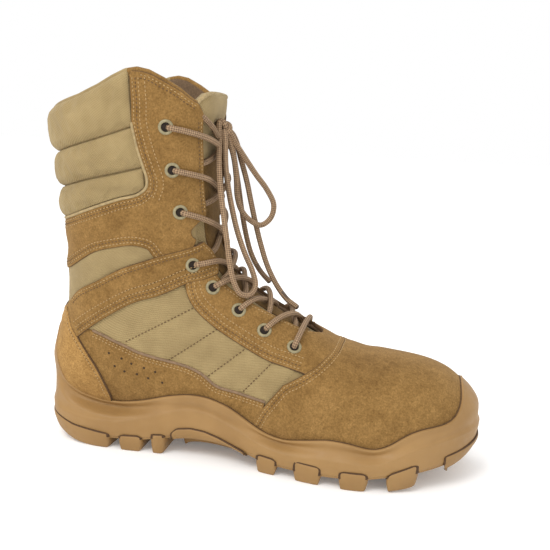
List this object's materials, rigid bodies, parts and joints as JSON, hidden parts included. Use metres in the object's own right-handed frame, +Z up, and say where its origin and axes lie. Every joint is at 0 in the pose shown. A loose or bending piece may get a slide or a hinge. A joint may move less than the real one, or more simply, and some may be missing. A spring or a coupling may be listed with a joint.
{
  "type": "combat boot",
  "caption": "Right suede and fabric combat boot with padded collar, lug sole, laced throat and tied laces, standing empty",
  "frame": {"origin": "on the ground under the middle of the boot's length and width", "axes": "+X points from the heel to the toe, -Y to the lateral (outer) side of this right boot, +Z up"},
  "size_m": [0.3022, 0.1052, 0.2544],
  "materials": {
    "outsole": "matt moulded rubber, caramel",
    "midsole": "satin moulded rubber, caramel",
    "insole": "felt-faced footbed",
    "upper": "coyote suede with sand woven panels and pale stitching",
    "tongue": "sand woven fabric with a suede patch",
    "eyelet": "matt sand paint",
    "lace": "round braided cord, two browns"
  },
  "bodies": {
    "root": {"outsole": "outsole", "midsole": "midsole", "insole": "insole", "upper": "upper", "tongue": "tongue", "eyelet_lateral_1": "eyelet", "eyelet_medial_1": "eyelet", "eyelet_lateral_2": "eyelet", "eyelet_medial_2": "eyelet", "eyelet_lateral_3": "eyelet", "eyelet_medial_3": "eyelet", "eyelet_lateral_4": "eyelet", "eyelet_medial_4": "eyelet", "eyelet_lateral_5": "eyelet", "eyelet_medial_5": "eyelet", "eyelet_lateral_6": "eyelet", "eyelet_medial_6": "eyelet", "eyelet_lateral_7": "eyelet", "eyelet_medial_7": "eyelet", "eyelet_lateral_8": "eyelet", "eyelet_medial_8": "eyelet", "lace_crossing_1": "lace", "lace_crossing_2": "lace", "lace_crossing_3": "lace", "lace_crossing_4": "lace", "lace_crossing_5": "lace", "lace_crossing_6": "lace", "lace_crossing_7": "lace", "lace_bar": "lace", "lace_knot": "lace", "lace_loop_front": "lace", "lace_loop_throat": "lace", "lace_end_front": "lace", "lace_end_throat": "lace"}
  },
  "joints": []
}
